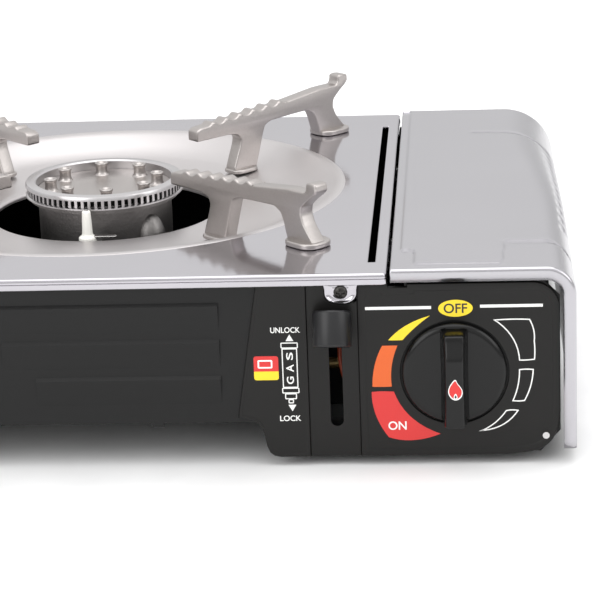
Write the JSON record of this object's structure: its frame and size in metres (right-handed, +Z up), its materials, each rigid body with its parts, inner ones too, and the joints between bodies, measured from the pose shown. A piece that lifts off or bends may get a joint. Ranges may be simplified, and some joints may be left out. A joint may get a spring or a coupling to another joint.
{
  "type": "camping stove",
  "caption": "Portable single-burner gas stove with four pan-support arms, a drip bowl, a hinged canister lid, a control knob and a canister lock lever.",
  "frame": {"origin": "under the middle of the whole stove, on the surface its feet stand on", "axes": "+Z up, +X towards the canister bay, -Y the front with the controls"},
  "size_m": [0.34, 0.286, 0.11],
  "materials": {
    "black_paint": "satin",
    "panel_black": "satin",
    "polished_steel": "polished",
    "brushed_steel": "satin",
    "bowl_steel": "satin",
    "zinc_steel": "satin",
    "bright_steel": "polished",
    "black_rubber": "matte",
    "cast_aluminium": "as cast",
    "machined_aluminium": "machined",
    "white_ceramic": "glazed",
    "zinc_casting": "as cast",
    "brass": "machined",
    "gloss_black": "gloss",
    "dark_plastic": "moulded",
    "white_plastic": "moulded",
    "dark_screw": "blackened",
    "red_lead": "insulation",
    "arm_casting": "satin cast"
  },
  "bodies": {
    "stove": {"body_shell": "black_paint", "control_panel": "panel_black", "top_plate": "polished_steel", "drip_bowl": "bowl_steel", "hinge_brackets": "zinc_steel", "hinge_pins": "bright_steel", "partition_wall": "zinc_steel", "canister_cradle": "zinc_steel", "tall_feet": "black_rubber", "short_feet": "black_rubber", "burner_body": "cast_aluminium", "burner_ring": "machined_aluminium", "burner_crown": "cast_aluminium", "burner_bracket": "zinc_steel", "bracket_screws": "bright_steel", "electrode_ceramic": "white_ceramic", "electrode_tip": "bright_steel", "electrode_bracket": "zinc_steel", "arm_screws": "bright_steel", "valve_body": "zinc_casting", "port_seal": "black_rubber", "gas_pipe": "brass", "jet_block": "brass", "gas_jet": "brass", "igniter_case": "dark_plastic", "lever_bracket": "zinc_steel", "tab_screw": "dark_screw", "panel_rivet": "bright_steel", "ignition_lead": "red_lead", "pan_arm_front_right": "arm_casting", "pan_arm_back_right": "arm_casting", "pan_arm_back_left": "arm_casting", "pan_arm_front_left": "arm_casting"},
    "lid": {"canister_lid": "brushed_steel"},
    "knob": {"control_knob": "gloss_black", "valve_spindle": "brass", "igniter_cam": "dark_plastic"},
    "plunger": {"igniter_plunger": "white_plastic"},
    "lever": {"lever_arm": "bright_steel", "lever_shaft": "bright_steel", "lever_knob": "dark_plastic", "lever_crank": "bright_steel"},
    "claw": {"canister_claw": "zinc_steel"}
  },
  "joints": [
    {"name": "lid_hinge", "type": "hinge", "parent": "stove", "child": "lid", "pos_m": [0.1002, 0, 0.0806], "axis": [0, -1, 0], "range_deg": [0, 92]},
    {"name": "knob_turn", "type": "hinge", "parent": "stove", "child": "knob", "pos_m": [0.1211, -0.1285, 0.0393], "axis": [0, -1, 0], "range_deg": [0, 140]},
    {"name": "plunger_push", "type": "slide", "parent": "stove", "child": "plunger", "axis": [0, 0, -1], "range_m": [0, 0.0051]},
    {"name": "lever_turn", "type": "hinge", "parent": "stove", "child": "lever", "pos_m": [0.0722, -0.0825, 0.0412], "axis": [1, 0, 0], "range_deg": [0, 41]},
    {"name": "claw_slide", "type": "slide", "parent": "stove", "child": "claw", "axis": [0, -1, 0], "range_m": [0, 0.0107]}
  ],
  "couplings": [
    {"joint": "plunger_push", "follows": "knob_turn", "m_per_rad": 0.0020463},
    {"joint": "claw_slide", "follows": "lever_turn", "m_per_rad": 0.014682}
  ]
}
